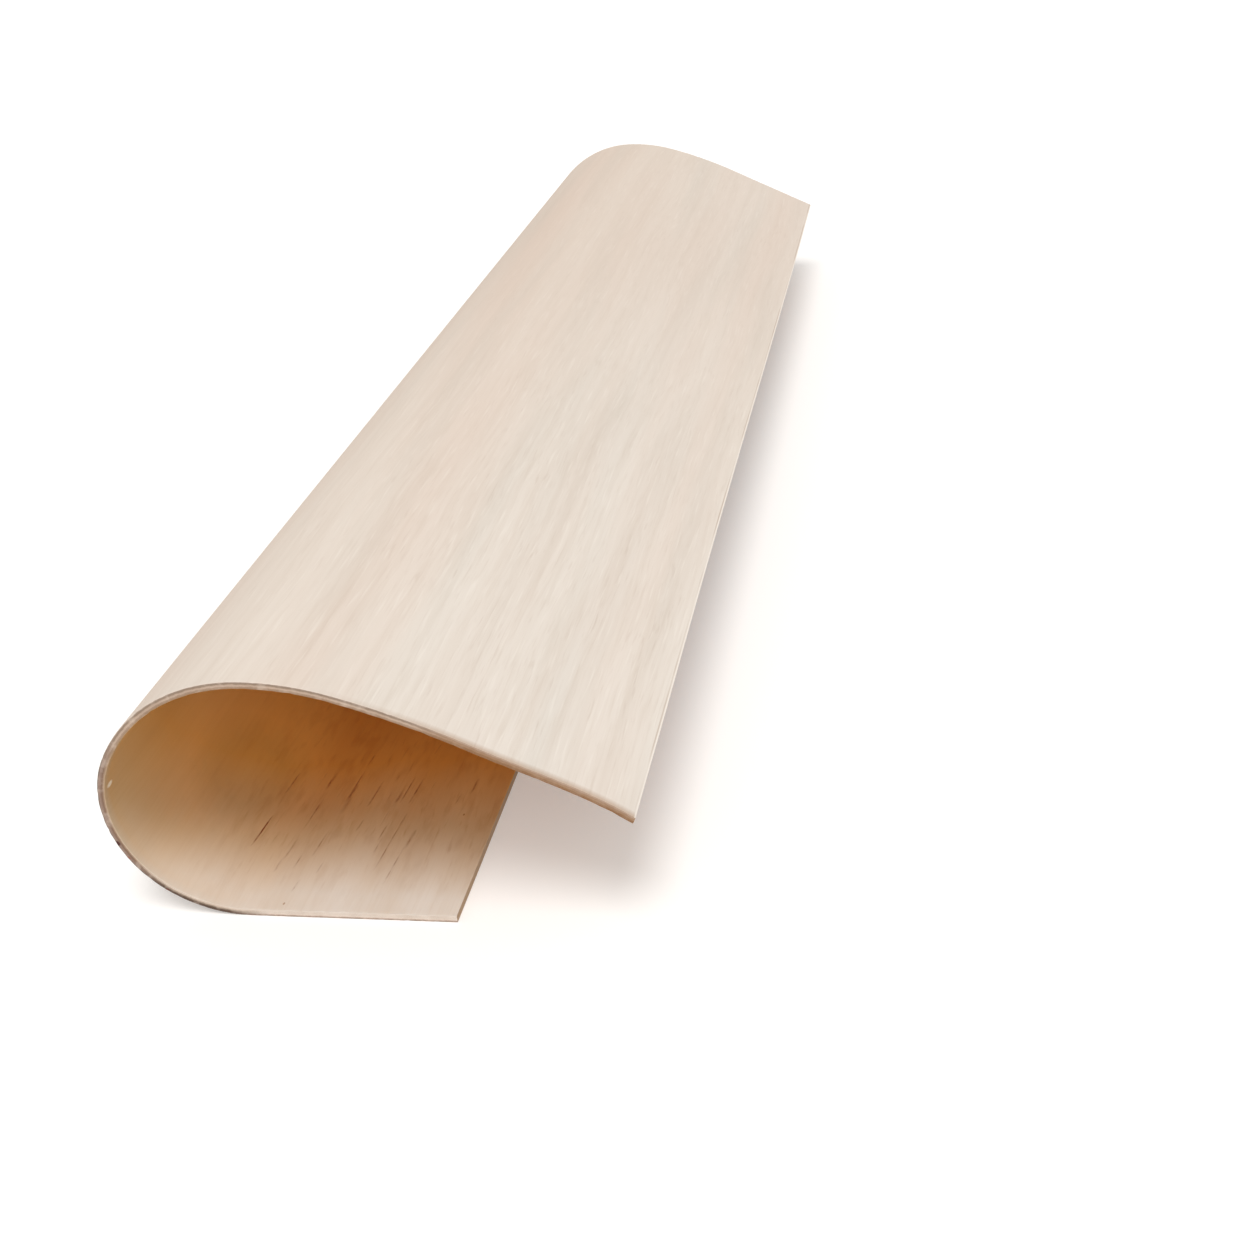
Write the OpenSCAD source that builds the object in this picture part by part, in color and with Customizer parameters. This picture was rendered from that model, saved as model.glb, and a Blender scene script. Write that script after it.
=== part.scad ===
// Flexible plywood: one full sheet, curled over on itself across its width.
//
// The sheet is three veneers glued face to face. The grain of both face veneers
// runs along the length, so the sheet rolls up easily the other way.
//
// All three veneers follow one line: the middle of the thickness, seen from the
// end of the sheet. It starts at the free edge on the floor, runs flat to the
// left, turns up and over in five bends that meet without a kink, and ends in a
// straight flap that hovers above the flat run. The radii are those of the
// hollow side, and the angles are how far the sheet turns in each bend.

/* [Sheet] */
// Width of the sheet, measured round the curl at half its thickness
sheet_w = 1220; // [600:5:1300]
// Length of the sheet, along the grain of its faces
sheet_l = 2440; // [600:10:3050]

/* [Veneers] */
// Thickness of the face veneer on the outside of the curl
outer_t = 3; // [0.6:0.1:5]
// Thickness of the middle veneer
core_t = 3; // [0.6:0.1:5]
// Thickness of the face veneer on the hollow side of the curl
inner_t = 3; // [0.6:0.1:5]

/* [Curl] */
// Width of sheet that lies flat on the floor
floor_run = 250; // [200:5:400]
// Radius of the first bend, which lifts the sheet off the floor
heel_r = 150; // [110:5:250]
// Angle that the first bend turns through
heel_angle = 33; // [20:1:40]
// Radius of the tightest bend, at the far left of the curl
nose_r = 130; // [115:5:160]
// Angle that the tightest bend turns through
nose_angle = 88; // [75:1:95]
// Radius of the bend over the top of the curl
crown_r = 205; // [180:5:260]
// Angle that the bend over the top turns through
crown_angle = 60; // [45:1:67]
// Radius of the bend where the sheet starts down again
shoulder_r = 335; // [250:5:500]
// Angle that this bend turns through
shoulder_angle = 17; // [5:1:24]
// Radius of the last bend, which is nearly straight
tail_r = 945; // [600:5:1200]
// Angle that the last bend turns through
tail_angle = 9; // [2:0.5:14]

/* [Smoothness] */
// Largest angle that one facet of a bend turns through
facet_angle = 2; // [0.5:0.5:5]

/* [Hidden] */

// Veneer faces, as heights above the outer face of the curl
sheet_t = outer_t + core_t + inner_t;
mid_h = sheet_t / 2;
core_from = outer_t;
core_to = outer_t + core_t;

// The line as a row of stretches, each [radius at mid thickness, turn]
bend_r = [for (r = [heel_r, nose_r, crown_r, shoulder_r, tail_r]) r + mid_h];
bend_angle = [heel_angle, nose_angle, crown_angle, shoulder_angle, tail_angle];
bends = len(bend_r);
function arc_length(i) = bend_r[i] * bend_angle[i] * PI / 180;

// Width of sheet that is used up where bend i starts
function used_at(i) = i == 0 ? floor_run : used_at(i - 1) + arc_length(i - 1);
flap_run = max(0, sheet_w - used_at(bends));

// Share of bend i that the sheet is wide enough to reach
function share(i) = max(0, min(1, (sheet_w - used_at(i)) / arc_length(i)));
function turn_done(i) = bend_angle[i] * share(i);

// Direction of travel where bend i starts: 180 degrees is to the left
function heading_at(i) = i == 0 ? 180 : heading_at(i - 1) - turn_done(i - 1);
function to_hollow(heading) = [sin(heading), -cos(heading)];

// Start of bend i, and the centre that it turns about
function start_at(i) = i == 0 ? [-floor_run, mid_h] : arc_point(i - 1, turn_done(i - 1), 0);
function centre_of(i) = start_at(i) + bend_r[i] * to_hollow(heading_at(i));

// Point of bend i after a turn, moved by off from mid thickness to the hollow side
function arc_point(i, turn, off) =
    centre_of(i) - (bend_r[i] - off) * to_hollow(heading_at(i) - turn);
function facets(i) = max(1, ceil(turn_done(i) / facet_angle));
function bend_line(i, off) =
    [for (k = [1 : facets(i)]) arc_point(i, turn_done(i) * k / facets(i), off)];

// Line through the sheet at height h above its outer face, from edge to edge
flap_heading = heading_at(bends);
flap_step = flap_run * [cos(flap_heading), sin(flap_heading)];
function line_at(h) =
    let (off = h - mid_h,
         curl = [for (i = [0 : bends - 1]) if (share(i) > 0) each bend_line(i, off)])
    concat([[0, h], [-floor_run, h]], curl,
           flap_run > 0 ? [curl[len(curl) - 1] + flap_step] : []);

// The origin is under the middle of the sheet, at its lowest point
outline = concat(line_at(0), line_at(sheet_t));
left_x = min([for (p = outline) p.x]);
right_x = max([for (p = outline) p.x]);
low_z = min([for (p = outline) p.y]);
origin = [(left_x + right_x) / 2, low_z];

function reversed(list) = [for (k = [len(list) - 1 : -1 : 0]) list[k]];

// One veneer between two heights, the whole length of the sheet
module veneer(h_from, h_to) {
    rotate([90, 0, 0])
        linear_extrude(height = sheet_l, center = true)
            polygon([for (p = concat(line_at(h_from), reversed(line_at(h_to)))) p - origin]);
}

module outer_face_veneer() {
    color([0.90, 0.85, 0.79]) veneer(0, core_from);
}

module core_veneer() {
    color([0.74, 0.63, 0.50]) veneer(core_from, core_to);
}

module inner_face_veneer() {
    color([0.84, 0.74, 0.62]) veneer(core_to, sheet_t);
}

outer_face_veneer();
core_veneer();
inner_face_veneer();
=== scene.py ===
# %% [markdown]
# # A sheet of flexible plywood, curled over on itself
#
# The object is one full sheet of bending plywood: three thin veneers glued face to face.
# It lies on a flat run along one edge, rises round a tight bend at the left and comes back
# over the top as a flap that hovers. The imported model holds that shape. This script dresses it:
# the veneers get their cut edges, splits and grain, and then the camera, floor and lights.

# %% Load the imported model
import math

import bpy
import numpy as np
from mathutils import Matrix, Vector


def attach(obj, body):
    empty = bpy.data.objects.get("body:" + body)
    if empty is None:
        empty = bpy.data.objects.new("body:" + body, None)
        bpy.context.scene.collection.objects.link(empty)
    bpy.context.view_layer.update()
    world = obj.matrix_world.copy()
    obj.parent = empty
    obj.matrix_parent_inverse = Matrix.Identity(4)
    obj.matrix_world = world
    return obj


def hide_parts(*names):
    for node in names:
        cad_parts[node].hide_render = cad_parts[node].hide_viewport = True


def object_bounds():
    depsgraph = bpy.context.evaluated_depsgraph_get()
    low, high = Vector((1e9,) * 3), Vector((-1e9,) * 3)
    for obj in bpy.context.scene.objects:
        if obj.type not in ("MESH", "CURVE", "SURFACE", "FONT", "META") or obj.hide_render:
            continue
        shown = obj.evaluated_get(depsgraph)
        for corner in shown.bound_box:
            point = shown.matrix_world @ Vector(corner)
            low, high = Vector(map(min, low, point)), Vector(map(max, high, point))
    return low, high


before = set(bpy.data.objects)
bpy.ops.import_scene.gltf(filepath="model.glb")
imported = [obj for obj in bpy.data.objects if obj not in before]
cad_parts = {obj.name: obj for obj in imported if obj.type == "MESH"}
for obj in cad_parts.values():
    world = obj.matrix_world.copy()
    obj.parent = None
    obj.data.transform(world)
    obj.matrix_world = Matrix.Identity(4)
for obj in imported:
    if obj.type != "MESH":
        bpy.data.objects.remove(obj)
cad_low, cad_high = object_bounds()
print("CAD box, m:", [round(high - low, 4) for low, high in zip(cad_low, cad_high)])

# %% [markdown]
# ## The camera
#
# A camera can be placed by eye, but a long straight sheet gives itself away: its two long edges
# run to a vanishing point, and its ends are copies of one outline. So the viewpoint here is the
# one from which the known sheet fits all of those lines. It stands at the front right, about
# head high for someone kneeling, tips down by almost 29 degrees and leans a little to one side.
# The picture is square, so the focal length in pixels is turned into a lens by its width.

# %% Camera
PHOTO_PX = 1254
FOCAL_PX = 1590
CAMERA_AT = Vector((0.630, -2.556, 1.137))
CAMERA_YAW = math.radians(-13.07)
CAMERA_PITCH = math.radians(28.81)
CAMERA_ROLL = math.radians(6.57)


def camera_axes(yaw, pitch, roll):
    """Forward points yaw off +Y and pitch below the horizon; right and down turn about it by roll."""
    ahead, level = Vector((math.sin(yaw), math.cos(yaw), 0)), Vector((math.cos(yaw), -math.sin(yaw), 0))
    forward = ahead * math.cos(pitch) + Vector((0, 0, -math.sin(pitch)))
    down = forward.cross(level)
    right = level * math.cos(roll) + down * math.sin(roll)
    return right, forward.cross(right), forward


right, down, forward = camera_axes(CAMERA_YAW, CAMERA_PITCH, CAMERA_ROLL)
lens_data = bpy.data.cameras.new("camera")
lens_data.lens = FOCAL_PX / PHOTO_PX * lens_data.sensor_width
camera = bpy.data.objects.new("camera", lens_data)
facing = Matrix((right, -down, -forward)).transposed()
camera.matrix_world = Matrix.Translation(CAMERA_AT) @ facing.to_4x4()
bpy.context.scene.collection.objects.link(camera)
bpy.context.scene.camera = camera
print("lens, mm:", round(lens_data.lens, 2))

# %% [markdown]
# ## The sheet before and after it is bent
#
# A curled board is easiest to describe flat. Every point of the sheet has three flat
# coordinates: u is how far it is round the curl from the free edge on the floor, v how far it is
# from the front end, and h its height above the outer face. Details such as a worn edge or a
# split are small changes of u, v and h. One function then bends the whole board, as the real
# sheet was: a flat run, five arcs that meet without a kink, and a straight flap. The sizes are
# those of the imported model, in metres.

# %% Sizes of the sheet
SHEET_W = 1.220
SHEET_L = cad_high.y - cad_low.y
OUTER_T = 0.003
CORE_T = 0.003
INNER_T = 0.003
SHEET_T = OUTER_T + CORE_T + INNER_T
FLOOR_RUN = 0.250
# Radius on the hollow side and angle in degrees, from the floor to the flap
BENDS = [(0.150, 33), (0.130, 88), (0.205, 60), (0.335, 17), (0.945, 9)]


def middle_line(u):
    """Point and heading at half thickness. Along an arc of radius r the heading h falls by s / r,
    so x grows by r (sin h0 - sin h) and z by r (cos h - cos h0)."""
    x = -np.minimum(u, FLOOR_RUN)
    z = np.full(u.shape, SHEET_T / 2)
    heading = np.full(u.shape, math.pi)
    start, first = FLOOR_RUN, math.pi
    for hollow_r, degrees in BENDS:
        r, angle = hollow_r + SHEET_T / 2, math.radians(degrees)
        turned_by = np.clip((u - start) / (r * angle), 0, 1) * angle
        x = x + r * (math.sin(first) - np.sin(first - turned_by))
        z = z + r * (np.cos(first - turned_by) - math.cos(first))
        heading = heading - turned_by
        start, first = start + r * angle, first - angle
    flap = np.maximum(u - start, 0)
    return x + flap * math.cos(first), z + flap * math.sin(first), heading


def section(u, h):
    """The bent sheet seen from its end: the middle line, moved square to it towards the hollow."""
    x, z, heading = middle_line(u)
    off = h - SHEET_T / 2
    return x + off * np.sin(heading), z - off * np.cos(heading)


outline_u = np.linspace(0, SHEET_W, 2001)
outline_x = section(outline_u, np.zeros_like(outline_u))[0]
SHIFT_X = cad_low.x - outline_x.min()
print("free edge on the floor at x =", round(SHIFT_X, 4))
print("section width:", round(np.ptp(outline_x), 4))

# %% [markdown]
# ## A flap that is not quite true
#
# The real flap was rolled a little askew, so that its long edge creeps in by 8 mm on the
# way to the front. Its front corner has been knocked as well: it hangs, and just behind it the
# sheet stands up. Modelling these as separate shapes would break the surface. Here both are small
# changes of the flat coordinates, made before the sheet is bent.

# %% Bend the board
CREEP = 0.008
CREEP_START = 2.2
CREEP_LENGTH = 1.9
CREEP_FROM_U = 0.9
KNOCKED_ACROSS = 0.19
KNOCKED_ALONG = 0.22
HANG = 0.0245
STAND = 0.021


def eased(t):
    """Runs from 0 to 1 as t does, level at both ends: 3 t squared - 2 t cubed."""
    t = np.clip(t, 0, 1)
    return t * t * (3 - 2 * t)


def bent(u, v, h):
    """Places flat coordinates in the room. The flap loses CREEP towards the front, and its corner
    dips by HANG t cubed - STAND t squared, where t runs from 0 to 1 over the last stretch of u."""
    out = np.clip((u - CREEP_FROM_U) / (SHEET_W - CREEP_FROM_U), 0, 1)
    creep = CREEP * out * eased((CREEP_START - v) / CREEP_LENGTH)
    t = np.clip(1 - (SHEET_W - u) / KNOCKED_ACROSS, 0, 1)
    dip = (HANG * t**3 - STAND * t**2) * eased(1 - v / KNOCKED_ALONG)
    x, z = section(u - creep, h + dip)
    return np.stack([x + SHIFT_X, v - SHEET_L / 2, z], axis=-1)


print("front corner of the flap:", bent(np.array([SHEET_W]), np.zeros(1), np.zeros(1)).round(4))

# %% [markdown]
# ## Splits, worn edges and chips
#
# The hollow face is squeezed by the bend, and its open grain shows as short splits. One is dark
# and the rest fainter, and all run a little askew to the length, as the grain does there. The
# clearest are placed one by one, and small ones are scattered among them. A split could be
# painted on, but then it would vanish when the mesh is used elsewhere, so each one is a shallow
# groove with a sharp bottom. The saw leaves the edges a little rough, with the corners worn and
# here and there a chip.

# %% Slant of the grain
SLANT = 0.055
SLANT_FROM = 0.2
SLANT_END = 0.45
LEAN_FADES_FROM = 0.42
LEAN_FADES_OVER = 0.08
EDGE_FADE = 0.03


def lean(u, v):
    """How far the grain has run aside: SLANT for each metre, from SLANT_FROM on, up to SLANT_END.
    It fades out towards the free edge and above the low part of the curl."""
    faded = np.clip(u / EDGE_FADE, 0, 1) * np.clip((LEAN_FADES_FROM - u) / LEAN_FADES_OVER, 0, 1)
    return SLANT * (SLANT_FROM - np.minimum(v, SLANT_END)) * faded


# %% Splits of the hollow face
# Each: distance from the free edge, from the front end to its start and its far tip, its width,
# and its share of the full depth
LONG_SPLITS = [
    (0.291, 0.113, 0.174, 0.0026, 1.00),
    (0.289, 0.224, 0.268, 0.0030, 0.40),
    (0.240, 0.240, 0.274, 0.0050, 0.50),
    (0.239, 0.155, 0.211, 0.0028, 0.35),
    (0.238, 0.188, 0.214, 0.0042, 0.50),
    (0.203, 0.236, 0.280, 0.0030, 0.62),
    (0.203, 0.214, 0.250, 0.0060, 0.46),
    (0.202, 0.188, 0.224, 0.0070, 0.38),
    (0.171, 0.206, 0.260, 0.0035, 0.50),
    (0.131, 0.219, 0.269, 0.0030, 0.45),
    (0.138, 0.211, 0.238, 0.0060, 0.50),
    (0.119, 0.215, 0.264, 0.0030, 0.52),
    (0.045, 0.238, 0.270, 0.0042, 0.48),
    (0.170, 0.158, 0.177, 0.0035, 0.42),
    (0.121, 0.083, 0.162, 0.0028, 0.52),
    (0.136, 0.141, 0.166, 0.0030, 0.40),
    (0.097, 0.126, 0.160, 0.0060, 0.55),
    (0.102, 0.056, 0.120, 0.0030, 0.34),
    (0.208, 0.106, 0.149, 0.0032, 0.36),
    (0.242, 0.095, 0.135, 0.0042, 0.28),
    (0.224, 0.082, 0.102, 0.0030, 0.36),
    (0.246, 0.070, 0.096, 0.0045, 0.26),
    (0.059, 0.213, 0.235, 0.0032, 0.34),
    (0.118, 0.158, 0.188, 0.0035, 0.40),
    (0.192, 0.073, 0.092, 0.0030, 0.28),
    (0.210, 0.036, 0.054, 0.0035, 0.30),
    (0.117, 0.326, 0.347, 0.0032, 0.42),
    (0.201, 0.296, 0.322, 0.0035, 0.42),
]
SPLIT_DEPTH = 0.0007
SMALL_SPLITS = 18
rng = np.random.default_rng(11)
small_u = rng.choice(np.arange(0.032, 0.300, 0.0085), SMALL_SPLITS, replace=False)
small_v = rng.uniform(0.09, 0.36, small_u.size)
small_long = rng.uniform(0.018, 0.038, small_u.size)
small_wide = rng.uniform(0.0016, 0.0026, small_u.size)
small_share = rng.uniform(0.14, 0.30, small_u.size)
small_splits = np.stack([small_u, small_v, small_v + small_long, small_wide, small_share], axis=1)
splits = np.vstack([LONG_SPLITS, small_splits])
splits[:, 0] -= lean(splits[:, 0], (splits[:, 1] + splits[:, 2]) / 2)
print("splits:", len(splits))


def split_depth(straight, v):
    """Deepest groove at each point, as a share of the full depth: it falls off linearly across and
    as a half ellipse along. straight is the distance round the curl with the lean taken out."""
    deepest = np.zeros(np.broadcast(straight, v).shape)
    for middle, start, end, width, share in splits:
        across = np.clip(1 - np.abs(straight - middle) / (width / 2), 0, 1)
        along = np.clip(1 - ((v - (start + end) / 2) / ((end - start) / 2)) ** 2, 0, 1)
        deepest = np.maximum(deepest, share * across * np.sqrt(along))
    return deepest


# %% Rough edges
ARRIS = 0.00035
CHIP_DEPTH = 0.0009
CHIP_SPACING = 0.005
WEAR_DEPTH = 0.0003
WEAR_SPACING = 0.0022
WEAR_REACH = 0.002


def rough(places, spacing, seed):
    """A random line through knots that are spacing apart, between 0 and 1."""
    knots = np.arange(places.min(), places.max() + 2 * spacing, spacing)
    heights = np.random.default_rng(seed).random(knots.size)
    return np.interp(places, knots, heights)


def worn(places, seed):
    """How far the saw wore the corner back: a random line to the sixth power, which is mostly
    nothing with a few chips, and a closer one squared."""
    chips = CHIP_DEPTH * rough(places, CHIP_SPACING, seed) ** 6
    return chips + WEAR_DEPTH * rough(places, WEAR_SPACING, seed + 1) ** 2


# %% [markdown]
# ## One veneer as a closed board
#
# Each veneer is a thin closed board: a loop of points round its section, carried from the front
# end to the back. Columns are close where the sheet bends or a split has to be drawn, and rows
# are close near the ends, where the edge is worn. The corners of the loop and the first and last
# rows are eased by a fraction of a millimetre, so that they catch a thin line of light.

# %% Columns and rows
SLIVER = 0.00025
RIM_ROWS = np.array([0, ARRIS, 0.001, 0.002, 0.004, 0.007, 0.011])
NEAR_START = 0.016
REAR_MARGIN = 0.030


def columns(spacing, extra=()):
    """Distances round the curl, even but for the eased corners and the extra places asked for.
    Of two that lie less than SLIVER apart, one goes."""
    even = np.linspace(ARRIS, SHEET_W - ARRIS, int(SHEET_W / spacing))
    places = np.unique(np.concatenate([[0, SHEET_W], even, extra]))
    close = np.diff(places) < SLIVER
    return np.delete(places, np.flatnonzero(close[1:-1]) + 1)


def rows(near_spacing, near_end, far_spacing):
    """Distances from the front end: close at both ends, fairly close near the front, wide beyond."""
    near = np.arange(NEAR_START, near_end, near_spacing)
    far = np.arange(near_end, SHEET_L - REAR_MARGIN, far_spacing)
    return np.concatenate([RIM_ROWS, near, far, (SHEET_L - RIM_ROWS)[::-1]])


def split_columns():
    """The middle and both lips of every split."""
    middles, widths = splits[:, 0], splits[:, 3]
    return np.concatenate([middles, middles - widths / 2, middles + widths / 2])


# %% Build a closed board


def closed_board(name, u, v, low, high, aside=lambda u, v: 0 * u):
    """Mesh of the box between two height fields over the grid u by v, bent. low, high and aside
    are functions of u and v, and the grid itself is pushed aside by the last. Vertices run up one
    side of the section and back down the other."""
    uu, vv = np.meshgrid(u, v)
    pushed = uu + aside(uu, vv)
    loop_u = np.hstack([pushed, pushed[:, ::-1]])
    loop_v = np.hstack([vv, vv[:, ::-1]])
    loop_h = np.hstack([low(uu, vv), high(uu, vv)[:, ::-1]])
    flat = np.stack([loop_u, loop_v, loop_h], axis=-1).reshape(-1, 3)
    points = bent(*flat.T)
    n, m = loop_u.shape[1], loop_u.shape[0]
    ids = np.arange(n * m).reshape(m, n)
    ahead = np.roll(ids, -1, axis=1)
    walls = np.stack([ids[:-1], ahead[:-1], ahead[1:], ids[1:]], axis=-1).reshape(-1, 4)
    half = n // 2
    near, back = ids[:, :half], ids[:, half:][:, ::-1]
    front = np.stack([near[0, :-1], back[0, :-1], back[0, 1:], near[0, 1:]], axis=-1)
    rear = np.stack([near[-1, :-1], near[-1, 1:], back[-1, 1:], back[-1, :-1]], axis=-1)
    faces = np.vstack([walls, front, rear])
    return make_mesh(name, points, faces, flat)


def volume(points, faces):
    """Signed volume: a third of the sum over the triangles of corner dot (corner cross corner)."""
    a, b, c, d = (points[faces[:, k]] for k in range(4))
    parts = np.einsum("ij,ij->i", a, np.cross(b, c)) + np.einsum("ij,ij->i", a, np.cross(c, d))
    return parts.sum() / 6


def make_mesh(name, points, faces, flat):
    """Turns arrays into an object whose faces point outwards and that keeps the flat coordinates."""
    if volume(points, faces) < 0:
        faces = faces[:, ::-1]
    mesh = bpy.data.meshes.new(name)
    mesh.vertices.add(len(points))
    mesh.vertices.foreach_set("co", points.ravel())
    mesh.loops.add(faces.size)
    mesh.loops.foreach_set("vertex_index", faces.ravel())
    mesh.polygons.add(len(faces))
    mesh.polygons.foreach_set("loop_start", np.arange(0, faces.size, 4))
    mesh.update(calc_edges=True)
    mesh.attributes.new("flat", "FLOAT_VECTOR", "POINT").data.foreach_set("vector", flat.ravel())
    mesh.shade_smooth()
    mesh.set_sharp_from_angle(angle=math.radians(30))
    board = bpy.data.objects.new(name, mesh)
    bpy.context.scene.collection.objects.link(board)
    print(name, "triangles:", 2 * len(faces), "litres:", round(1000 * abs(volume(points, faces)), 2))
    return board


def rim_drop(u, v):
    """How much lower the outermost points lie, so that every corner is eased."""
    at_side = (u <= 0) | (u >= SHEET_W)
    at_end = (v <= 0) | (v >= SHEET_L)
    return ARRIS * (at_side | at_end)


def chip_drop(u, v, seed):
    """Wear of the front and back corners, fading out over WEAR_REACH."""
    reach = np.clip(1 - np.minimum(v, SHEET_L - v) / WEAR_REACH, 0, 1)
    return worn(u[0], seed) * reach


# %% Outer face veneer
outer_face = closed_board(
    "outer_face",
    columns(spacing=0.0037),
    rows(near_spacing=0.030, near_end=0.480, far_spacing=0.045),
    lambda u, v: rim_drop(u, v) + chip_drop(u, v, seed=21),
    lambda u, v: np.full(u.shape, OUTER_T),
)

# %% Core veneer
core = closed_board(
    "core",
    columns(spacing=0.0037),
    rows(near_spacing=0.030, near_end=0.480, far_spacing=0.060),
    lambda u, v: np.full(u.shape, OUTER_T),
    lambda u, v: np.full(u.shape, OUTER_T + CORE_T),
)

# %% Inner face veneer
inner_face = closed_board(
    "inner_face",
    columns(0.0040, split_columns()),
    rows(near_spacing=0.0085, near_end=0.470, far_spacing=0.050),
    lambda u, v: np.full(u.shape, OUTER_T + CORE_T),
    lambda u, v: SHEET_T - rim_drop(u, v) - chip_drop(u, v, seed=31) - SPLIT_DEPTH * split_depth(u, v),
    lean,
)

# %% Mark the splits
inner_flat = np.empty(len(inner_face.data.vertices) * 3)
inner_face.data.attributes["flat"].data.foreach_get("vector", inner_flat)
inner_u, inner_v, inner_h = inner_flat.reshape(-1, 3).T
on_top = inner_h > SHEET_T - 2 * SPLIT_DEPTH
opened = split_depth(inner_u - lean(inner_u, inner_v), inner_v) * on_top
inner_face.data.attributes.new("split", "FLOAT", "POINT").data.foreach_set("value", opened)
print("points in splits:", int((opened > 0).sum()))

# %% [markdown]
# ## Wood that follows the sheet
#
# A wood pattern could be laid over the curl from outside, but then its lines would run through
# the bend instead of round it. Here the flat coordinates are kept on the mesh, and every pattern
# reads those, so the grain bends with the sheet and runs out at its cut edges. Grain is noise
# that is stretched along the length, in three sizes: broad bands, streaks, and fine lines.

# %% Node helpers


def add(tree, kind, inputs=(), **settings):
    """New node. Each input is a pair: a socket's name or number, and a value or an output to link."""
    made = tree.nodes.new(kind)
    for name, value in settings.items():
        setattr(made, name, value)
    for socket, value in inputs:
        if isinstance(value, bpy.types.NodeSocket):
            tree.links.new(value, made.inputs[socket])
        else:
            made.inputs[socket].default_value = value
    return made


def blend(tree, amount, first, second, how="MIX"):
    """Colour between first and second, or first multiplied by second."""
    made = add(tree, "ShaderNodeMix", [("Factor", amount)], data_type="RGBA", blend_type=how)
    for socket, value in ((made.inputs[6], first), (made.inputs[7], second)):
        if isinstance(value, bpy.types.NodeSocket):
            tree.links.new(value, socket)
        else:
            socket.default_value = (*value, 1)
    return made.outputs[2]


def tint(tree, amount, colour, by):
    """Colour taken towards its product with a pale tint, so that its hue hardly turns."""
    return blend(tree, amount, colour, by, "MULTIPLY")


def stretched_noise(tree, place, across, along, detail, offset):
    """Noise with that many features to the metre across and along the grain, from 0 to 1. The
    offset moves it, so that no two patterns fall together."""
    size = [(0, place), (1, (across, along, across))]
    scaled = add(tree, "ShaderNodeVectorMath", size, operation="MULTIPLY").outputs[0]
    moved = add(tree, "ShaderNodeVectorMath", [(0, scaled), (1, (offset,) * 3)], operation="ADD")
    settings = [("Vector", moved.outputs[0]), ("Scale", 1.0), ("Detail", detail)]
    return add(tree, "ShaderNodeTexNoise", settings).outputs["Fac"]


def between(tree, value, low, high, out_low=0.0, out_high=1.0):
    """Stretches the range from low to high to the range from out_low to out_high."""
    limits = [("Value", value), ("From Min", low), ("From Max", high)]
    limits += [("To Min", out_low), ("To Max", out_high)]
    return add(tree, "ShaderNodeMapRange", limits).outputs["Result"]


def layer(tree, place, across, along, detail, offset, start, full, strength):
    """One layer of the wood: stretched noise that counts from start on, and has its whole strength
    at full."""
    noise = stretched_noise(tree, place, across, along, detail, offset)
    return between(tree, noise, start, full, 0.0, strength)


def maths(tree, operation, first, second):
    """One sum, product or the like."""
    return add(tree, "ShaderNodeMath", [(0, first), (1, second)], operation=operation).outputs[0]


# %% Start and end of a wood material
LONG_WANDER = 0.010
SHORT_WANDER = 0.002
SHINE = 0.25


def new_wood(name, roughness):
    """Empty material with its shader, the flat coordinates, and a place for patterns to read. The
    place is pushed sideways by up to LONG_WANDER in long waves and SHORT_WANDER in short ones, as
    grain wanders."""
    made = bpy.data.materials.new(name)
    made.use_nodes = True
    tree = made.node_tree
    shader = tree.nodes["Principled BSDF"]
    shader.inputs["Roughness"].default_value = roughness
    shader.inputs["Specular IOR Level"].default_value = SHINE
    kept = add(tree, "ShaderNodeAttribute", attribute_name="flat", attribute_type="GEOMETRY")
    flat = kept.outputs["Vector"]
    wide = stretched_noise(tree, flat, across=5.0, along=1.6, detail=1.0, offset=40.0)
    narrow = stretched_noise(tree, flat, across=24.0, along=9.0, detail=1.0, offset=50.0)
    long_waves = between(tree, wide, 0, 1, -LONG_WANDER, LONG_WANDER)
    short_waves = between(tree, narrow, 0, 1, -SHORT_WANDER, SHORT_WANDER)
    push = add(tree, "ShaderNodeCombineXYZ", [("X", maths(tree, "ADD", long_waves, short_waves))])
    place = add(tree, "ShaderNodeVectorMath", [(0, flat), (1, push.outputs[0])], operation="ADD")
    return made, tree, shader, flat, place.outputs[0]


def flat_parts(tree, flat):
    """The three flat coordinates u, v and h."""
    parts = add(tree, "ShaderNodeSeparateXYZ", [("Vector", flat)])
    return parts.outputs["X"], parts.outputs["Y"], parts.outputs["Z"]


def finish_wood(tree, shader, colour, pattern, strength, depth):
    """Gives the shader its colour, and a bump that follows the pattern."""
    relief = [("Strength", strength), ("Distance", depth), ("Height", pattern)]
    bump = add(tree, "ShaderNodeBump", relief)
    tree.links.new(colour, shader.inputs["Base Color"])
    tree.links.new(bump.outputs[0], shader.inputs["Normal"])


# %% [markdown]
# ## Outer face: pale, sanded, almost plain
#
# The show face is a light cream veneer that has been sanded. Nothing on it stands out: broad bands
# lean a little to pink or to grey, and over them lie dark streaks of four sizes, from a finger wide
# and half a metre long down to fine lines, with light ones among them. Faint flecks sit in loose
# groups. The grain shows less on the round side and far from the front. The face is a shade darker
# on the round side, and painted shade makes it darker far from the front. A plain stripe pattern
# would look printed, so each layer has its own length and width and they all wander. The long edge
# of the flap has a painted highlight with a fine line beside it, and painted shade lies along its
# front edge.

# %% Outer face tones and layers
CREAM = (0.766, 0.706, 0.640)
# Pale tone of the light streaks, and of the painted highlight along the flap's long edge
PALE_STREAK_AND_HIGHLIGHT = (0.860, 0.805, 0.735)
DRIFT_TINT = (0.905, 0.855, 0.815)
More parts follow.
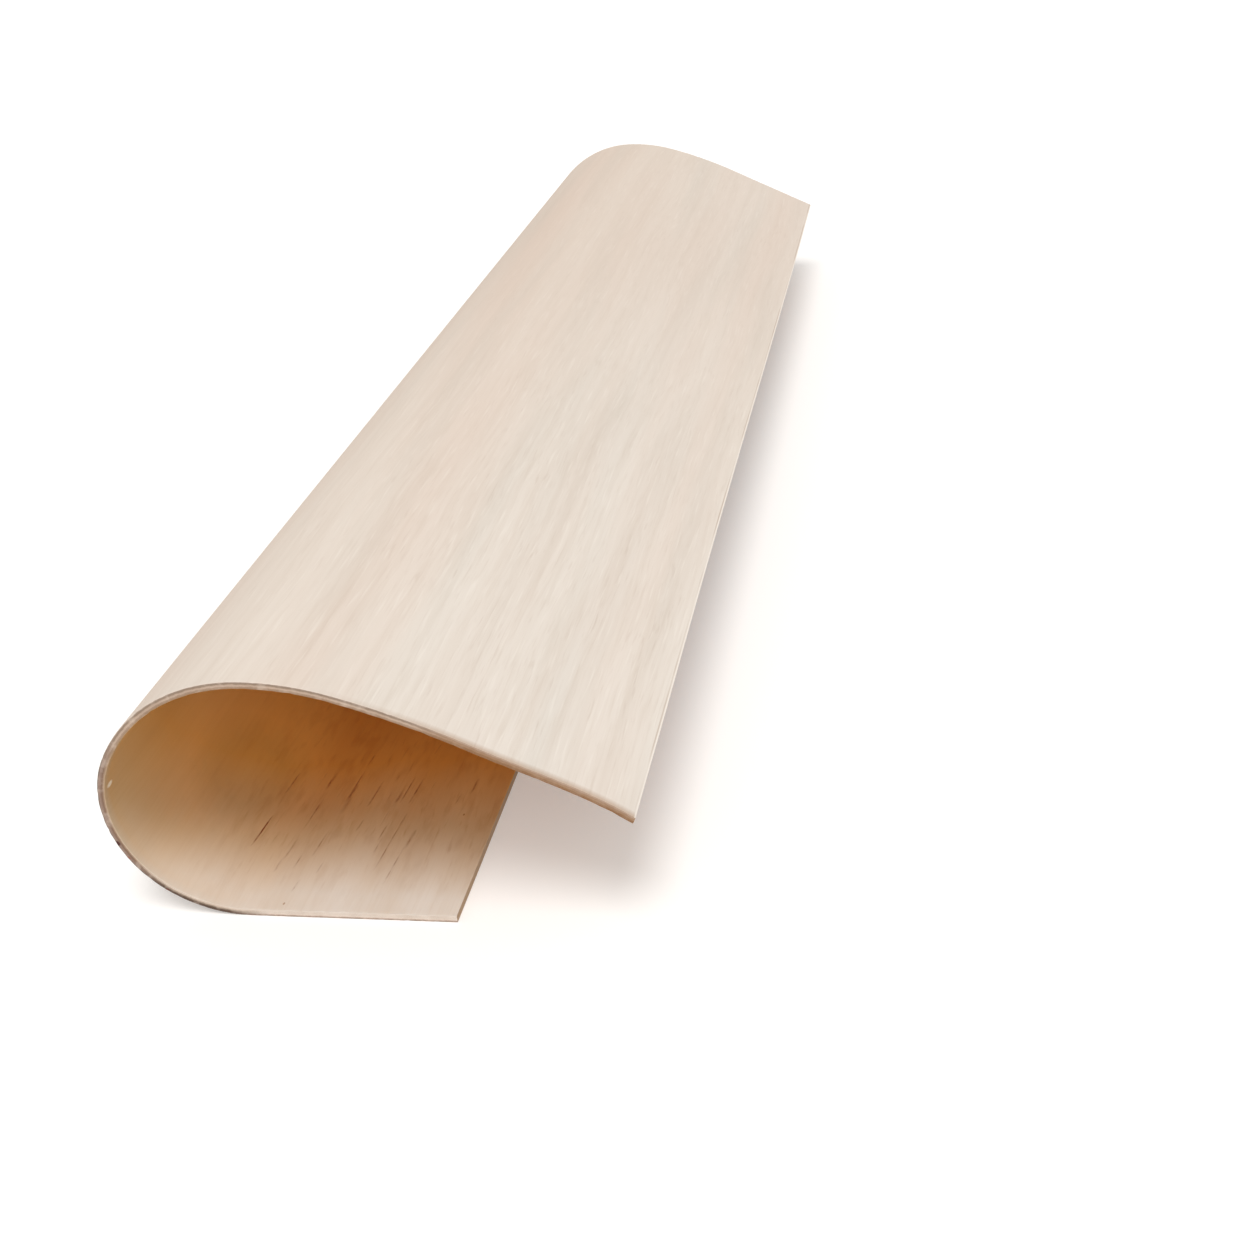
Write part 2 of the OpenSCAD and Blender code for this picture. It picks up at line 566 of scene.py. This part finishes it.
# Painted shade, darker far from the front end
FAR_SHADE_TINT = (0.915, 0.880, 0.855)
PINK_TINT = (0.980, 0.945, 0.930)
GREY_TINT = (0.930, 0.945, 0.945)
STREAK_TINT = (0.880, 0.850, 0.820)
FLECK_TINT = (0.770, 0.710, 0.670)
# Tint of the painted shade along the front end of the flap
EDGE_SHADE_TINT = (0.700, 0.590, 0.510)
# Each layer: features to the metre across and along, detail and offset of its noise, the noise at
# which it starts and is full, and its strength
PINK_BANDS = (9.0, 0.5, 2.0, 3.0, 0.40, 0.66, 1.0)
GREY_BANDS = (15.0, 0.9, 2.0, 9.0, 0.48, 0.72, 0.8)
RIBBONS = (62.0, 1.8, 2.0, 17.0, 0.42, 0.72, 0.50)
STRANDS = (115.0, 3.2, 2.0, 47.0, 0.46, 0.70, 0.30)
STREAKS = (170.0, 8.0, 2.0, 19.0, 0.54, 0.70, 0.32)
FINE_LINES = (420.0, 17.0, 2.0, 23.0, 0.55, 0.70, 0.30)
LIGHT_STREAKS = (240.0, 12.0, 1.0, 29.0, 0.58, 0.76, 0.30)
FLECKS = (260.0, 20.0, 1.0, 31.0, 0.58, 0.70, 0.28)
FLECK_GROUPS = (30.0, 4.0, 2.0, 37.0, 0.42, 0.60, 1.0)
LINE_GROUPS = (30.0, 4.0, 2.0, 37.0, 0.40, 0.56, 1.0)
# Each ramp: the distances, round the curl or from an edge, between which it runs, and where it
# isn't from 0 to 1, its strength at both
DRIFT_ROUND = (1.05, 0.60)
# Painted shade ramp: darker away from the front end
FAR_SHADE_RAMP = (0.15, 1.70)
CLEAR_ROUND = (0.62, 0.95, 0.45, 1.0)
CLEAR_NEAR = (0.40, 1.40, 1.0, 0.5)
# Painted shade along the front end of the flap: round the curl, and in from the end
EDGE_SHADE_ROUND = (0.84, 1.02)
EDGE_SHADE_IN = (0.0, 0.009, 1.0, 0.0)
# Painted highlight along the flap's long edge
EDGE_HIGHLIGHT = (0.0012, 0.0022, 0.8, 0.0)
LINE_BESIDE_EDGE = 0.0032
LINE_SIDES = (0.0004, 0.0012, 1.0, 0.0)

# %% Outer face material


def outer_face_wood():
    """Cream veneer: bands, streaks, flecks, painted shade far from the front end, a painted highlight
    along the flap's long edge and painted shade along its front edge.
    """
    made, tree, shader, flat, place = new_wood("outer_face_wood", roughness=0.62)
    round_curl, from_front, _ = flat_parts(tree, flat)
    colour = tint(tree, between(tree, round_curl, *DRIFT_ROUND), CREAM, DRIFT_TINT)
    # Painted shade, darker away from the front end
    colour = tint(tree, between(tree, from_front, *FAR_SHADE_RAMP), colour, FAR_SHADE_TINT)
    colour = tint(tree, layer(tree, place, *PINK_BANDS), colour, PINK_TINT)
    colour = tint(tree, layer(tree, place, *GREY_BANDS), colour, GREY_TINT)
    plain = colour
    for grain in (RIBBONS, STRANDS, STREAKS, FINE_LINES):
        colour = tint(tree, layer(tree, place, *grain), colour, STREAK_TINT)
    grouped = maths(tree, "MULTIPLY", layer(tree, place, *FLECKS), layer(tree, place, *FLECK_GROUPS))
    colour = tint(tree, grouped, colour, FLECK_TINT)
    colour = blend(tree, layer(tree, place, *LIGHT_STREAKS), colour, PALE_STREAK_AND_HIGHLIGHT)
    clear = maths(tree, "MULTIPLY", between(tree, round_curl, *CLEAR_ROUND),
                  between(tree, from_front, *CLEAR_NEAR))
    colour = blend(tree, clear, plain, colour)
    # Painted shade along the front end of the flap
    edge_shade = maths(tree, "MULTIPLY", between(tree, from_front, *EDGE_SHADE_IN),
                   between(tree, round_curl, *EDGE_SHADE_ROUND))
    colour = tint(tree, edge_shade, colour, EDGE_SHADE_TINT)
    from_edge = maths(tree, "SUBTRACT", SHEET_W, round_curl)
    from_line = maths(tree, "ABSOLUTE", maths(tree, "SUBTRACT", from_edge, LINE_BESIDE_EDGE), 0.0)
    fine_line = maths(tree, "MULTIPLY", between(tree, from_line, *LINE_SIDES),
                      layer(tree, place, *LINE_GROUPS))
    colour = tint(tree, fine_line, colour, FLECK_TINT)
    # Painted highlight along the flap's long edge
    colour = blend(tree, between(tree, from_edge, *EDGE_HIGHLIGHT), colour, PALE_STREAK_AND_HIGHLIGHT)
    finish_wood(tree, shader, colour, stretched_noise(tree, place, *FINE_LINES[:4]), 0.30, 0.0004)
    return made


# %% [markdown]
# ## Hollow face: warm, with open splits
#
# The hollow side is the rougher face. Where it is shut away in the curl, painted shade gives it a
# warm orange brown, and towards both mouths it is a pale tan, most of all on the part that lies
# flat. So its tone follows two distances: how far in from the nearer mouth a place is, and how far
# round the curl. Where the sheet starts to rise lies a patch of painted shade, a shade browner. The
# grain itself hardly shows, but the low part has faint strokes and a thin brown haze. The splits
# are shallow grooves, dark partly from their own wood and partly from painted shade, and a small
# chip near the tight bend shows new wood, painted brighter as a highlight.

# %% Hollow face tones and layers
# The orange browns and the tan between are painted shade deep in the curl; the pale tan is the wood
PALE_TAN = (0.705, 0.650, 0.590)
HALF_SHADE_TAN = (0.735, 0.538, 0.330)
WARM_SHADE_TAN = (0.860, 0.430, 0.104)
OLIVE_SHADE_TAN = (0.840, 0.500, 0.185)
GRAIN_TINT = (0.910, 0.860, 0.800)
NOSE_TINT = (0.915, 0.890, 0.790)
# Tint of the painted shade where the sheet starts to rise
RISE_SHADE_TINT = (0.830, 0.850, 0.840)
STROKE_TINT = (0.800, 0.690, 0.590)
HAZE_TINT = (0.860, 0.790, 0.730)
# Splits: partly the split's own darker wood, partly painted shade in the groove
SPLIT_DARK_AND_SHADE = (0.340, 0.110, 0.030)
# Bare wood of the chip, brightened as a painted highlight
BARE_WOOD_AND_HIGHLIGHT = (1.000, 0.950, 0.800)
KNOT_TINT = (0.620, 0.500, 0.420)
# Layers and ramps, as on the outer face
HOLLOW_BANDS = (16.0, 1.2, 2.0, 2.0, 0.40, 0.70, 0.7)
HOLLOW_STREAKS = (130.0, 5.0, 3.0, 14.0, 0.45, 0.75, 0.25)
HOLLOW_LINES = (480.0, 14.0, 3.0, 27.0, 0.45, 0.75, 0.25)
STROKES = (190.0, 22.0, 2.0, 33.0, 0.61, 0.78, 0.6)
HAZE = (75.0, 19.0, 3.0, 61.0, 0.50, 0.68, 0.65)
CLOUDS = (12.0, 3.0, 3.0, 5.0)
CLOUD_SHIFT = (0.3, 0.7, -0.012, 0.012)
RAGGED_SPLITS = (300.0, 70.0, 2.0, 44.0)
RAGGED_SHARE = (0.36, 0.62, 0.55, 1.60)
# Where the painted shade lies: in from the mouth, round the curl, and less at the rim
SHUT_AWAY = (0.03, 0.31)
RAISED = (0.0, 0.62)
SHADE_RIM_FADE = (0.0, 0.014, 0.45, 1.0)
OLIVE_ROUND = (0.36, 0.50)
SHADE_MIDPOINT = 0.45
NOSE_ROUND = (0.37, 0.48)
NOSE_IN = (0.26, 0.18)
LOW_ROUND = (0.40, 0.28)
LOW_IN = (0.02, 0.16, 0.3, 1.0)
# Each spot: distance round the curl and from the front end, and half its size both ways
CHIP_SPOT = (0.5055, 0.013, 0.0034, 0.0056)
# Patch of painted shade where the sheet starts to rise
RISE_SHADE_SPOT = (0.348, 0.236, 0.066, 0.090)
PIN_KNOTS = [(0.043, 0.192, 0.0011, 0.0020), (0.212, 0.012, 0.0012, 0.0022)]
SPOT_EDGE = (0.7, 1.3, 1.0, 0.0)

# %% Hollow face material


def spot(tree, flat, u, v, half_u, half_v):
    """Soft oval: 1 inside, falling to 0 over SPOT_EDGE, a distance measured in half sizes."""
    scale = (1 / half_u, 1 / half_v, 0)
    away = add(tree, "ShaderNodeVectorMath", [(0, flat), (1, (-u, -v, 0))], operation="ADD")
    scaled = add(tree, "ShaderNodeVectorMath", [(0, away.outputs[0]), (1, scale)], operation="MULTIPLY")
    length = add(tree, "ShaderNodeVectorMath", [(0, scaled.outputs[0])], operation="LENGTH")
    return between(tree, length.outputs["Value"], *SPOT_EDGE)


def hollow_shade(tree, place, round_curl, nearer):
    """Amount of painted shade, 0 where the face is pale tan and 1 where it is shaded orange brown: the
    distance in from the nearer mouth, shifted by clouds, plus the cube of the distance round, and less
    at the rim."""
    clouds = between(tree, stretched_noise(tree, place, *CLOUDS), *CLOUD_SHIFT)
    shut_away = between(tree, maths(tree, "ADD", nearer, clouds), *SHUT_AWAY)
    raised = maths(tree, "POWER", between(tree, round_curl, *RAISED), 3.0)
    either = maths(tree, "MINIMUM", maths(tree, "ADD", shut_away, raised), 1.0)
    return maths(tree, "MULTIPLY", either, between(tree, nearer, *SHADE_RIM_FADE))


def inner_face_wood():
    """Tan veneer with orange brown painted shade deep in the curl: grain, strokes, haze, splits darkened
    partly by painted shade, pin knots and one chip painted bright as a highlight.
    """
    made, tree, shader, flat, place = new_wood("inner_face_wood", roughness=0.75)
    round_curl, from_front, _ = flat_parts(tree, flat)
    nearer = maths(tree, "MINIMUM", from_front, maths(tree, "SUBTRACT", SHEET_L, from_front))
    # Painted shade deep in the curl, orange brown over the pale tan
    warm = hollow_shade(tree, place, round_curl, nearer)
    shade_tone = blend(tree, between(tree, round_curl, *OLIVE_ROUND), WARM_SHADE_TAN, OLIVE_SHADE_TAN)
    paler = blend(tree, between(tree, warm, 0.0, SHADE_MIDPOINT), PALE_TAN, HALF_SHADE_TAN)
    colour = blend(tree, between(tree, warm, SHADE_MIDPOINT, 1.0), paler, shade_tone)
    # Painted shade where the sheet starts to rise
    colour = tint(tree, spot(tree, flat, *RISE_SHADE_SPOT), colour, RISE_SHADE_TINT)
    for grain in (HOLLOW_BANDS, HOLLOW_STREAKS, HOLLOW_LINES):
        colour = tint(tree, layer(tree, place, *grain), colour, GRAIN_TINT)
    at_nose = maths(tree, "MULTIPLY", between(tree, round_curl, *NOSE_ROUND),
                    between(tree, nearer, *NOSE_IN))
    colour = tint(tree, at_nose, colour, NOSE_TINT)
    low_part = maths(tree, "MULTIPLY", between(tree, round_curl, *LOW_ROUND),
                     between(tree, from_front, *LOW_IN))
    for grain, by in ((STROKES, STROKE_TINT), (HAZE, HAZE_TINT)):
        colour = tint(tree, maths(tree, "MULTIPLY", layer(tree, place, *grain), low_part), colour, by)
    for knot in PIN_KNOTS:
        colour = tint(tree, spot(tree, flat, *knot), colour, KNOT_TINT)
    opened = add(tree, "ShaderNodeAttribute", attribute_name="split", attribute_type="GEOMETRY")
    ragged = between(tree, stretched_noise(tree, flat, *RAGGED_SPLITS), *RAGGED_SHARE)
    # Split darkening: partly the split's own wood, partly painted shade in the groove
    split_darkening = maths(tree, "MINIMUM", maths(tree, "MULTIPLY", opened.outputs["Fac"], ragged), 1.0)
    colour = tint(tree, split_darkening, colour, SPLIT_DARK_AND_SHADE)
    # Chip of bare wood, painted brighter as a highlight
    colour = blend(tree, spot(tree, flat, *CHIP_SPOT), colour, BARE_WOOD_AND_HIGHLIGHT)
    finish_wood(tree, shader, colour, stretched_noise(tree, place, *HOLLOW_LINES[:4]), 0.25, 0.0004)
    return made


# %% [markdown]
# ## Cut edges
#
# The cut shows the three veneers: the outer one dark, the middle one light, the inner one brown.
# But it does not look the same all round. Along the flat run it is as pale as the face, which is
# painted light, with only a dark line underneath; round the tight bend it is dark; on the crown a
# pale line at the outer corner is a painted highlight; and on the flap it fades from light to
# brown, which is painted light and shade.
# So the edge has a run of tones through its thickness for each of five stretches, and they blend
# into each other round the curl. All along it there are pale scuffs, and low on the round side a
# few rusty marks and one dark stain. The two long edges run with the grain, and are one warm tone.
# One material does for all three veneers.

# %% Cut edge tones and layers
GLUE_TINT = (0.700, 0.620, 0.560)
DIRT_TINT = (0.820, 0.780, 0.750)
RUST_TINT = (0.950, 0.450, 0.400)
LONG_GRAIN = (0.560, 0.410, 0.280)
RUBBED = (0.820, 0.700, 0.600)
STAIN_TINT = (0.270, 0.150, 0.170)
# Each stretch: heights above the outer face with their tones
# The pale upper tones of the flat run are painted light
FLAT_RUN_LIT = [(0.0, (0.30, 0.20, 0.15)), (0.0008, (0.36, 0.25, 0.19)), (0.0020, (0.70, 0.56, 0.48)),
            (0.0030, (0.92, 0.82, 0.74)), (0.0090, (0.88, 0.80, 0.72))]
HEEL = [(0.0, (0.13, 0.09, 0.07)), (0.0036, (0.17, 0.12, 0.09)), (0.0052, (0.46, 0.37, 0.30)),
        (0.0068, (0.82, 0.71, 0.61)), (0.0090, (0.84, 0.73, 0.63))]
NOSE = [(0.0, (0.14, 0.12, 0.10)), (0.0009, (0.26, 0.21, 0.18)), (0.0024, (0.46, 0.34, 0.29)),
        (0.0052, (0.29, 0.19, 0.14)), (0.0068, (0.40, 0.28, 0.20)), (0.0090, (0.62, 0.46, 0.33))]
# The pale first tone of the crown is a painted highlight at the outer corner
CROWN_WITH_HIGHLIGHT = [(0.0, (0.64, 0.54, 0.46)), (0.0014, (0.40, 0.31, 0.25)), (0.0022, (0.37, 0.28, 0.22)),
         (0.0038, (0.62, 0.49, 0.39)), (0.0054, (0.68, 0.54, 0.44)), (0.0070, (0.46, 0.33, 0.24)),
         (0.0090, (0.44, 0.30, 0.20))]
# The flap's run from light at the top to brown below is painted light and shade
FLAP_LIT_TO_SHADED = [(0.0, (0.54, 0.42, 0.33)), (0.0015, (0.56, 0.41, 0.31)), (0.0040, (0.48, 0.31, 0.20)),
        (0.0065, (0.38, 0.22, 0.12)), (0.0090, (0.32, 0.17, 0.09))]
# Where each later stretch begins, round the curl
STRETCHES = [(0.25, HEEL), (0.38, NOSE), (0.56, CROWN_WITH_HIGHLIGHT), (0.98, FLAP_LIT_TO_SHADED)]
STRETCH_BLEND = 0.05

# Layers and ramps, as on the faces; the heights are above the outer face
FIBRES = (900.0, 900.0, 3.0, 7.0, 0.35, 0.70, 0.6)
DIRT = (45.0, 45.0, 3.0, 12.0, 0.40, 0.70, 0.7)
RUST = (70.0, 70.0, 1.0, 21.0, 0.60, 0.68, 1.0)
SCUFFS = (75.0, 75.0, 3.0, 63.0, 0.52, 0.68, 0.35)
WAVER = (160.0, 160.0, 2.0, 4.0)
WAVER_SHIFT = (0.3, 0.7, -0.0005, 0.0005)
GLUE_SIDES = (0.00015, 0.00050, 0.55, 0.0)
GLUE_ROUND = (0.20, 0.30, 0.2, 1.0)
SCUFF_ROUND = (0.90, 1.00, 1.0, 0.3)
RUST_FROM = (0.22, 0.30)
RUST_TO = (0.48, 0.42)
RUST_HEIGHT = (0.0040, 0.0020)
BESIDE_LONG_EDGE = (0.0012, 0.0008)
INSIDE_ENDS = (0.0004, 0.0008)
# The dark stain: distance round the curl, height, and half its size both ways
STAIN_SPOT = (0.4303, 0.0018, 0.0032, 0.0026)

# %% Cut edge material


def tones(tree, height, stops):
    """Colour run through the stops by height, from the outer face to the hollow face."""
    made = add(tree, "ShaderNodeValToRGB", [("Fac", between(tree, height, 0.0, SHEET_T))])
    points = made.color_ramp.elements
    points[0].color = (*stops[0][1], 1)
    points[1].color = (*stops[-1][1], 1)
    for stop, colour in stops[1:-1]:
        points.new(stop / SHEET_T).color = (*colour, 1)
    return made.outputs["Color"]


def veneer_tones(tree, round_curl, level):
    """The run of tones of each stretch, blended into the one before it over STRETCH_BLEND."""
    colour = tones(tree, level, FLAT_RUN_LIT)
    for start, stops in STRETCHES:
        reached = between(tree, round_curl, start - STRETCH_BLEND / 2, start + STRETCH_BLEND / 2)
        colour = blend(tree, reached, colour, tones(tree, level, stops))
    return colour


def glue_lines(tree, round_curl, level):
    """Strength of the two glue lines: how near the level is to either, fading on the flat run."""
    lower = maths(tree, "ABSOLUTE", maths(tree, "SUBTRACT", level, OUTER_T), 0.0)
    upper = maths(tree, "ABSOLUTE", maths(tree, "SUBTRACT", level, OUTER_T + CORE_T), 0.0)
    near = between(tree, maths(tree, "MINIMUM", lower, upper), *GLUE_SIDES)
    return maths(tree, "MULTIPLY", near, between(tree, round_curl, *GLUE_ROUND))


def cut_edge_wood():
    """Edge of the sheet: veneer tones with painted light and shade, sawn fibres, dirt, glue lines,
    scuffs, rust and one stain.
    """
    made, tree, shader, flat, _ = new_wood("cut_edge_wood", roughness=0.80)
    round_curl, from_front, height = flat_parts(tree, flat)
    waver = between(tree, stretched_noise(tree, flat, *WAVER), *WAVER_SHIFT)
    level = maths(tree, "ADD", height, waver)
    colour = veneer_tones(tree, round_curl, level)
    for grain in (FIBRES, DIRT):
        colour = tint(tree, layer(tree, flat, *grain), colour, DIRT_TINT)
    colour = tint(tree, glue_lines(tree, round_curl, level), colour, GLUE_TINT)
    scuffed = maths(tree, "MULTIPLY", layer(tree, flat, *SCUFFS), between(tree, round_curl, *SCUFF_ROUND))
    colour = blend(tree, scuffed, colour, RUBBED)
    low_side = maths(tree, "MULTIPLY", between(tree, round_curl, *RUST_FROM),
                     between(tree, round_curl, *RUST_TO))
    low_outside = maths(tree, "MULTIPLY", low_side, between(tree, level, *RUST_HEIGHT))
    rusty = maths(tree, "MULTIPLY", low_outside, layer(tree, flat, *RUST))
    colour = tint(tree, rusty, colour, RUST_TINT)
    on_cut = add(tree, "ShaderNodeCombineXYZ", [("X", round_curl), ("Y", level)]).outputs[0]
    colour = tint(tree, spot(tree, on_cut, *STAIN_SPOT), colour, STAIN_TINT)
    beside = maths(tree, "MINIMUM", round_curl, maths(tree, "SUBTRACT", SHEET_W, round_curl))
    inside = maths(tree, "MINIMUM", from_front, maths(tree, "SUBTRACT", SHEET_L, from_front))
    long_edge = maths(tree, "MULTIPLY", between(tree, beside, *BESIDE_LONG_EDGE),
                      between(tree, inside, *INSIDE_ENDS))
    colour = blend(tree, long_edge, colour, LONG_GRAIN)
    finish_wood(tree, shader, colour, stretched_noise(tree, flat, *FIBRES[:4]), 0.5, 0.0003)
    return made


# %% Give each board its materials


def dress(board, face_material, edge_material, showing):
    """Face material on the faces that showing picks by the flat height of their corners, edge
    material on the rest."""
    mesh = board.data
    mesh.materials.append(edge_material)
    mesh.materials.append(face_material)
    heights = np.empty(len(mesh.vertices) * 3)
    mesh.attributes["flat"].data.foreach_get("vector", heights)
    heights = heights.reshape(-1, 3)[:, 2]
    corners = np.empty(len(mesh.loops), int)
    mesh.loops.foreach_get("vertex_index", corners)
    chosen = showing(heights[corners.reshape(-1, 4)]).all(axis=1)
    mesh.polygons.foreach_set("material_index", chosen.astype(int))
    print(board.name, "faces that show:", int(chosen.sum()))


edge_wood = cut_edge_wood()
dress(outer_face, outer_face_wood(), edge_wood, lambda h: h < OUTER_T / 2)
core.data.materials.append(edge_wood)
dress(inner_face, inner_face_wood(), edge_wood, lambda h: h > SHEET_T - INNER_T / 2)

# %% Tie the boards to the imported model
VENEERS = [(outer_face, "outer_face_veneer"), (core, "core_veneer"), (inner_face, "inner_face_veneer")]
for board, node in VENEERS:
    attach(board, "root")
    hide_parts(node)
print("veneers dressed:", len(VENEERS))

# %% [markdown]
# ## Floor, sky and lamps
#
# The sheet rests on a plain pale floor. The floor looks nearly white to the camera but throws
# back less light than white would, so that the hollow stays dark inside. The main lamp is broad,
# soft and nearly overhead, a little in front and to the right, and lights the top of the curl. A
# low one in front reaches into the mouth of the hollow, a weak one on the left keeps the round
# side from going grey, and an even sky fills the rest.

# %% Floor
FLOOR_SIZE = 40.0
FLOOR_GLOW = 0.24
FLOOR_SEEN = (0.80, 0.79, 0.78, 1)
FLOOR_BOUNCED = (0.54, 0.48, 0.42, 1)
WHITE = (1, 1, 1, 1)

floor_mesh = bpy.data.meshes.new("floor")
corner_signs = np.array([(-1, -1, 0), (1, -1, 0), (1, 1, 0), (-1, 1, 0)])
floor_mesh.from_pydata((FLOOR_SIZE / 2 * corner_signs).tolist(), [], [(0, 1, 2, 3)])
floor = bpy.data.objects.new("floor", floor_mesh)
bpy.context.scene.collection.objects.link(floor)


def seen_directly(tree):
    """1 for rays that show the thing itself or its mirror image, 0 for rays that carry bounced light."""
    path = add(tree, "ShaderNodeLightPath")
    mirrored = maths(tree, "MAXIMUM", path.outputs["Is Glossy Ray"], path.outputs["Is Transmission Ray"])
    return maths(tree, "MAXIMUM", path.outputs["Is Camera Ray"], mirrored)


def floor_finish():
    """Pale to the eye, duller to bounced light."""
    made = bpy.data.materials.new("floor_finish")
    made.use_nodes = True
    tree = made.node_tree
    tree.nodes.clear()
    seen = add(tree, "ShaderNodeBsdfDiffuse", [("Color", FLOOR_SEEN)])
    glow = add(tree, "ShaderNodeEmission", [("Color", WHITE), ("Strength", FLOOR_GLOW)])
    bright = add(tree, "ShaderNodeAddShader", [(0, seen.outputs[0]), (1, glow.outputs[0])])
    bounced = add(tree, "ShaderNodeBsdfDiffuse", [("Color", FLOOR_BOUNCED)])
    both = [("Fac", seen_directly(tree)), (1, bounced.outputs[0]), (2, bright.outputs[0])]
    mixed = add(tree, "ShaderNodeMixShader", both)
    add(tree, "ShaderNodeOutputMaterial", [("Surface", mixed.outputs[0])])
    return made


floor.data.materials.append(floor_finish())
print("floor side, m:", FLOOR_SIZE)

# %% Sky
SKY_STRENGTH = 0.50
SKY_TONE = (1, 0.985, 0.965, 1)

world = bpy.data.worlds.new("sky")
world.use_nodes = True
sky = world.node_tree
sky.nodes.clear()
white = add(sky, "ShaderNodeBackground", [("Color", WHITE), ("Strength", 1.0)])
soft = add(sky, "ShaderNodeBackground", [("Color", SKY_TONE), ("Strength", SKY_STRENGTH)])
by_ray = [("Fac", seen_directly(sky)), (1, soft.outputs[0]), (2, white.outputs[0])]
mixed_sky = add(sky, "ShaderNodeMixShader", by_ray)
add(sky, "ShaderNodeOutputWorld", [("Surface", mixed_sky.outputs[0])])
bpy.context.scene.world = world

# %% Lamps
LAMP_SPREAD = math.radians(30)
LAMP_TONE = (1, 0.99, 0.975)
# Each: name, strength, degrees above the horizon and degrees to the right of straight in front
LAMPS = [("main_lamp", 1.68, 70, 10), ("left_lamp", 0.22, 35, -80), ("low_lamp", 0.72, 28, 28)]


def soft_lamp(name, strength, height, to_right):
    """Even light that comes from one direction, given by its two angles."""
    made = bpy.data.lights.new(name, "SUN")
    made.energy = strength
    made.angle = LAMP_SPREAD
    made.color = LAMP_TONE
    lamp = bpy.data.objects.new(name, made)
    level, up = math.cos(height), math.sin(height)
    towards = Vector((level * math.sin(to_right), -level * math.cos(to_right), up))
    lamp.rotation_euler = towards.to_track_quat("Z", "Y").to_euler()
    bpy.context.scene.collection.objects.link(lamp)


for name, strength, height, to_right in LAMPS:
    soft_lamp(name, strength, math.radians(height), math.radians(to_right))
bpy.context.scene.view_settings.view_transform = "Standard"
print("lamps:", [name for name, *_ in LAMPS])
